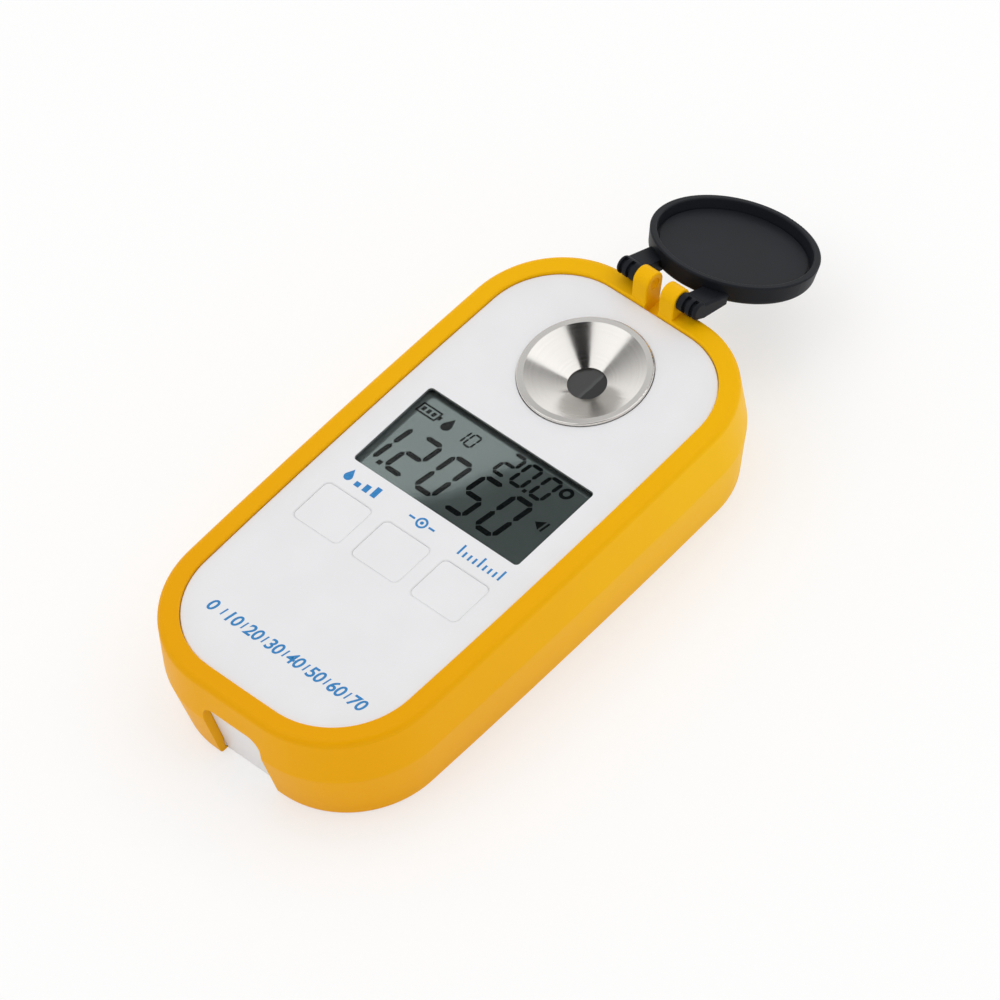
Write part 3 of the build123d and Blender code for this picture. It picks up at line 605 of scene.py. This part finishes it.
def digit(value, x, y, width, height, stroke, gap):
    # seven strokes, a at the top and then clockwise, g across the middle
    low, middle, high = y + stroke / 2, y + height / 2, y + height - stroke / 2
    left, right = x + stroke / 2, x + width - stroke / 2
    ends = {
        "a": ((left, high), (right, high)), "b": ((right, high), (right, middle)),
        "c": ((right, middle), (right, low)), "d": ((left, low), (right, low)),
        "e": ((left, low), (left, middle)), "f": ((left, middle), (left, high)),
        "g": ((left, middle), (right, middle)),
    }
    strokes = []
    for letter in segmentsOf[value]:
        (x0, y0), (x1, y1) = ends[letter]
        length = math.hypot(x1 - x0, y1 - y0)
        ux, uy = (x1 - x0) / length * gap, (y1 - y0) / length * gap
        strokes.append(bar((x0 + ux, y0 + uy), (x1 - ux, y1 - uy), stroke))
    return strokes


def number(row):
    stroke, foot = row["stroke"], row["foot"]
    shapes = []
    for value, x in zip(row["digits"], row["places"]):
        shapes += digit(value, x, foot, row["width"], row["height"], stroke, row["gap"])
    if row["point"] is not None:
        shapes.append(box(row["point"], foot, stroke * 0.95, stroke * 0.95))
    return shapes


def batteryMark(x, y, width, height, line):
    frameBars = [
        box(x, y, width, line), box(x, y + height - line, width, line),
        box(x, y + line, line, height - 2 * line), box(x + width - line, y + line, line, height - 2 * line),
        box(x + width, y + height * 0.3, line * 1.6, height * 0.4)]
    cells = [box(x + line * 2 + i * width * 0.26, y + line * 2, width * 0.16, height - line * 4)
             for i in range(3)]
    return frameBars + cells


def dropMark(x, y, radius):
    # a drop: two thirds of a disc closed by a point at its top
    turns = [math.radians(150 + 240 * i / 20) for i in range(21)]
    return [[(x + radius * math.cos(t), y + radius * math.sin(t)) for t in turns] + [(x, y + radius * 2.1)]]


def displayShapes(look):
    shapes = []
    for row in (look["main"], look["upper"], look["small"]):
        shapes += slanted(number(row), row["foot"], look["slant"])
    foot = look["upper"]["foot"]
    shapes += slanted(ring(*look["degree"]), foot, look["slant"])
    shapes += slanted(batteryMark(*look["battery"]), look["battery"][1], look["slant"])
    shapes += slanted(dropMark(*look["drop"]), look["drop"][1], look["slant"])
    # a pointer and a bar beside the last digit
    left, foot, width, height = look["pointer"]
    pointer = [(left, foot + height / 2), (left + width, foot), (left + width, foot + height)]
    stop = box(left + width + look["stopGap"], foot, look["stopWidth"], height)
    shapes += slanted([pointer, stop], foot, look["slant"])
    return shapes


inkThickness = 0.02 * mm
readingGap = 0.004 * mm       # keeps the ink off the glass
flatPiece("display_reading", displayShapes(reading), glassTop + readingGap, inkThickness,
          "displayInk")
print("display reading made")


# Printed marks on the face, in blue

faceMarks = {
    "labelFoot": -8.05,         # foot line of the marks over the keys, mm
    "labelHeight": 2.3,
    "keyPitch": 13.65,
    "scaleFoot": -42.7,         # foot line of the scale near the lower end
    "scaleLeft": -16.4,
    "scaleRight": 17.2,
    "scaleSize": 3.35,
    "scaleWeight": 0.07,
    "scaleSteps": 7,
    "tick": (0.35, 0.3, 1.7),   # lift above the foot line, width and height
    "tickLean": 12,             # degrees
}


def labelShapes(look):
    # a drop with bars, a target, and a row of ticks
    foot, height, pitch = look["labelFoot"], look["labelHeight"], look["keyPitch"]
    middle = foot + height / 2
    left, right = -pitch, pitch
    shapes = dropMark(left - 3.3, foot + 0.85, 0.85)
    for i, share in enumerate((0.45, 0.7, 1.0)):
        shapes.append(box(left - 1.4 + i * 1.9, foot, 1.1, height * share))
    shapes += ring(0, middle, 1.15, 0.75)
    shapes += [disc(0, middle, 0.35), box(-2.9, middle - 0.2, 1.3, 0.4), box(1.6, middle - 0.2, 1.3, 0.4)]
    for i in range(9):
        tall = height if i % 4 == 0 else height * 0.55
        shapes.append(box(right - 4.6 + i * 1.15, foot, 0.42, tall))
    return shapes


def scaleShapes(look):
    # one leaning tick midway between two numbers
    left, foot = look["scaleLeft"], look["scaleFoot"]
    steps, (lift, width, height) = look["scaleSteps"], look["tick"]
    step = (look["scaleRight"] - left) / steps
    ticks = [box(left + step * (i + 0.5) - width / 2, foot + lift, width, height) for i in range(steps)]
    return slanted(ticks, foot, look["tickLean"])


def plainNumbers(name, words, size, weight, foot, finish):
    # upright plain numbers, each (text, middle x), as one mesh
    built = bmesh.new()
    for text, x in words:
        curve = bpy.data.curves.new(name + text, "FONT")
        curve.body, curve.size, curve.align_x = text, size * mm, "CENTER"
        curve.extrude, curve.shear, curve.offset = inkThickness / 2, 0.2, weight * mm
        typed = linked(name + text, curve)
        bpy.context.view_layer.update()
        mesh = bpy.data.meshes.new_from_object(typed)
        mesh.transform(Matrix.Translation((x * mm, foot * mm, panelTop + inkThickness / 2)))
        built.from_mesh(mesh)
        bpy.data.objects.remove(typed)
        bpy.data.meshes.remove(mesh)
    housingPiece(name, built, finish)


flatPiece("key_marks", labelShapes(faceMarks), panelTop, inkThickness, "faceInk")
flatPiece("scale_marks", scaleShapes(faceMarks), panelTop, inkThickness, "faceInk")
scaleSpan = faceMarks["scaleRight"] - faceMarks["scaleLeft"]
scaleSteps = faceMarks["scaleSteps"]
scaleNumbers = [(str(10 * i), faceMarks["scaleLeft"] + scaleSpan * i / scaleSteps)
                for i in range(scaleSteps + 1)]
plainNumbers("scale_numbers", scaleNumbers, faceMarks["scaleSize"], faceMarks["scaleWeight"],
             faceMarks["scaleFoot"], "faceInk")
print("face marks made")


# Key surrounds: a soft membrane fills the gap round each key

keySurround = {"flange": 0.7, "gap": 0.2, "play": 0.01, "below": 0.03, "depth": 0.5, "corner": 1.2}


def roundedLoop(width, height, corner, x, y, steps=6):
    loop = []
    for cx, cy, start in ((1, 1, 0), (-1, 1, 90), (-1, -1, 180), (1, -1, 270)):
        for i in range(steps + 1):
            turn = math.radians(start + 90 * i / steps)
            loop.append((x + cx * (width / 2 - corner) + corner * math.cos(turn),
                         y + cy * (height / 2 - corner) + corner * math.sin(turn)))
    return loop


def loopBand(outer, inner):
    count = len(outer)
    return [[outer[i], outer[(i + 1) % count], inner[(i + 1) % count], inner[i]] for i in range(count)]


def keyMembranes(look):
    bands = []
    for name in ("button_left", "button_middle", "button_right"):
        low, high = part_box(name)
        middle = (low + high) / 2 / mm
        width = (high.x - low.x) / mm - 2 * look["flange"]
        height = (high.y - low.y) / mm - 2 * look["flange"]
        near, far = look["play"], look["gap"] - look["play"]
        outer = roundedLoop(width + 2 * far, height + 2 * far, look["corner"] + far, middle.x, middle.y)
        inner = roundedLoop(width + 2 * near, height + 2 * near, look["corner"] + near, middle.x, middle.y)
        bands += loopBand(outer, inner)
    top = panelTop - look["below"] * mm
    flatPiece("key_membranes", bands, top - look["depth"] * mm, look["depth"] * mm, "membrane")


keyMembranes(keySurround)
print("key membranes made")


# Lug plugs: a dished rubber plug closes the inner end of each lug's bore

lugPlug = {"radius": 1.14, "inner": 1.62, "outer": 2.15, "dish": 0.35, "y": 54.8, "z": 24.9, "steps": 28}


def lugPlugs(look):
    built = bmesh.new()
    count = look["steps"]
    turns = [2 * math.pi * i / count for i in range(count)]
    inner, dish = look["inner"], look["dish"]
    # rings along the plug, each with its share of the radius
    rings = ((look["outer"], 1.0), (inner, 1.0), (inner + dish * 0.25, 0.82), (inner + dish * 0.7, 0.55),
             (inner + dish, 0.2))
    for side in (-1, 1):
        rows = []
        for x, share in rings:
            radius = look["radius"] * share
            rows.append([built.verts.new((side * x * mm, (look["y"] + radius * math.cos(turn)) * mm,
                                          (look["z"] + radius * math.sin(turn)) * mm)) for turn in turns])
        for first, second in zip(rows, rows[1:]):
            for i in range(count):
                built.faces.new((first[i], first[(i + 1) % count], second[(i + 1) % count], second[i]))
        built.faces.new(rows[0])
        built.faces.new(rows[-1])
    bmesh.ops.recalc_face_normals(built, faces=built.faces[:])
    housingPiece("lug_plugs", built, "sleeveRubber")


lugPlugs(lugPlug)
print("lug plugs made")


# Studio: floor, world, two soft boxes, dark cards

studio = {
    "floorSize": 6.0,
    "floorColour": (0.90, 0.90, 0.90),
    "floorShown": 0.55,         # share of plain white in the floor that the camera sees
    "sky": ((0.0, 1.35), (0.16, 1.28), (0.42, 0.86), (0.66, 0.42), (1.0, 0.18)),    # level by height
    "glowToward": (140, 51),    # the bright wall that the level faces mirror
    "glowSpread": (24, 34),
    "glowLevel": 0.85,
    "boxDistance": 0.85,
    "boxLevel": 1.20,
    "boxHeight": 0.80,
    # each box spans two directions, as (azimuth from +X, elevation) in degrees
    "leftBox": ((-81, 73), (-149, 48)),
    "rightBox": ((74, 43), (-8, 74)),
    "darkCard": (-44, 76),
    "darkCardSize": 0.30,
}


def direction(azimuth, elevation):
    a, e = math.radians(azimuth), math.radians(elevation)
    return Vector((math.cos(a) * math.cos(e), math.sin(a) * math.cos(e), math.sin(e)))


def meshFrom(name, points, faces, material):
    mesh = bpy.data.meshes.new(name)
    mesh.from_pydata([tuple(p) for p in points], [], faces)
    piece = linked(name, mesh)
    mesh.materials.append(material)
    return piece


def makeFloor(look):
    # lit paper, with a share of plain white where it is seen directly or in a mirror
    finish = Finish("floor_paper")
    fleck = finish.noise(1.2 * mm, 3)
    shade = finish.blend(fleck, tuple(c * 0.985 for c in look["floorColour"]), look["floorColour"])
    paper = finish.surface(Base_Color=shade, Roughness=0.9, Specular_IOR_Level=0.1)
    white = finish.node("ShaderNodeEmission", None, {"Strength": 1.08})
    rays = [finish.node("ShaderNodeLightPath", out=kind)
            for kind in ("Is Camera Ray", "Is Glossy Ray", "Is Transmission Ray")]
    seen = (rays[0] + rays[1] + rays[2]) * look["floorShown"]
    shown = finish.node("ShaderNodeMixShader", None, {0: seen, 1: paper, 2: white})
    half = look["floorSize"] / 2
    corners = [(-half, -half, 0), (half, -half, 0), (half, half, 0), (-half, half, 0)]
    floor = meshFrom("floor", corners, [(0, 1, 2, 3)], finish.done(shown))


def makeWorld(look):
    # bright at the horizon, darker overhead, one bright wall, and white where the camera looks past the floor
    world = bpy.data.worlds.new("studio")
    bpy.context.scene.world = world
    finish = Finish("studio", world)
    toward = finish.node("ShaderNodeTexCoord", out="Generated")
    x, y, z = finish.axes(toward)
    stops = [(place, (level, level * 0.995, level * 0.99)) for place, level in look["sky"]]
    sky = finish.node("ShaderNodeValToRGB", {"stops": stops}, {0: z})
    facing = finish.node("ShaderNodeVectorMath", {"operation": "DOT_PRODUCT"}, {
        0: toward, 1: direction(*look["glowToward"])}, out="Value")
    inner, outer = [math.cos(math.radians(angle)) for angle in look["glowSpread"]]
    wall = (look["glowLevel"],) * 3
    sky = finish.blend(facing.clamped(outer, inner), sky, wall)
    seen = finish.node("ShaderNodeLightPath", out="Is Camera Ray")
    shade = finish.blend(seen, sky, (1, 1, 1))
    glow = finish.node("ShaderNodeBackground", None, {"Color": shade, "Strength": 1.0})
    finish.node("ShaderNodeOutputWorld", None, {"Surface": glow})


def softBox(name, span, look, centre):
    start, end = direction(*span[0]), direction(*span[1])
    facing = (start + end).normalized()
    angle = start.angle(end)
    width = 2 * look["boxDistance"] * math.tan(angle / 2)
    across = (end - start - facing * (end - start).dot(facing)).normalized()
    upright = facing.cross(across)
    lamp = bpy.data.lights.new(name, "AREA")
    lamp.shape, lamp.size, lamp.size_y = "RECTANGLE", width, look["boxHeight"]
    lamp.energy = look["boxLevel"] * math.pi * width * look["boxHeight"]
    thing = linked(name, lamp)
    turn = Matrix((across, upright, facing)).transposed().to_4x4()
    thing.matrix_world = Matrix.Translation(centre + facing * look["boxDistance"]) @ turn
    thing.visible_camera = False


def darkPaper(name, colour):
    finish = Finish(name)
    fleck = finish.noise(4 * mm, 3)
    shade = finish.blend(fleck, tuple(c * 0.8 for c in colour), colour)
    return finish.done(finish.surface(Base_Color=shade, Roughness=0.9, Specular_IOR_Level=0.0))


def hideFromCamera(card):
    card.visible_camera = False
    card.visible_diffuse = False
    card.visible_shadow = False


def squareCard(name, facing, distance, width, height, across, centre, material):
    across = (across - facing * across.dot(facing)).normalized()
    upright = facing.cross(across)
    middle = centre + facing * distance
    corners = [middle + across * (sx * width / 2) + upright * (sy * height / 2)
               for sx, sy in ((-1, -1), (1, -1), (1, 1), (-1, 1))]
    hideFromCamera(meshFrom(name, corners, [(0, 1, 2, 3)], material))


# The display mirrors a dark card whose edge runs across it; the points are on the display glass, in mm
glareEdge = {
    "points": [(7.4, 21.0), (4.5, 16.2), (3.7, 14.5), (1.8, 12.3), (0.95, 10.3), (0.13, 8.7), (-0.77, 6.7),
               (-1.8, 3.6), (-3.3, 1.0), (-4.3, -0.5), (-5.35, -1.4), (-6.4, -2.8), (-11.0, -9.0)],
    "distance": 0.22,
    "reach": 0.034,
}


def glareCard(look, material):
    # the mirrored view of a level face goes up and away from the camera
    mirrored = Vector((-viewBack.x, -viewBack.y, viewBack.z))
    edge = [Vector((x * mm, y * mm, glassTop)) + mirrored * look["distance"] for x, y in look["points"]]
    side = Vector((look["reach"], 0, 0))
    points = edge + [p + side for p in edge]
    count = len(edge)
    faces = [(i, i + 1, count + i + 1, count + i) for i in range(count - 1)]
    hideFromCamera(meshFrom("glare_card", points, faces, material))


makeFloor(studio)
makeWorld(studio)
stageCentre = Vector((0, stageMiddle.y, panelTop))
softBox("left_box", studio["leftBox"], studio, stageCentre)
softBox("right_box", studio["rightBox"], studio, stageCentre)
blackPaper = darkPaper("black_paper", (0.012, 0.012, 0.013))
squareCard("dark_card", direction(*studio["darkCard"]), studio["boxDistance"] - 0.05, studio["darkCardSize"],
           studio["darkCardSize"], Vector((1, -1, 0)), stageCentre, blackPaper)
glareCard(glareEdge, blackPaper)
bpy.context.scene.view_settings.view_transform = "Standard"
print("studio lit")
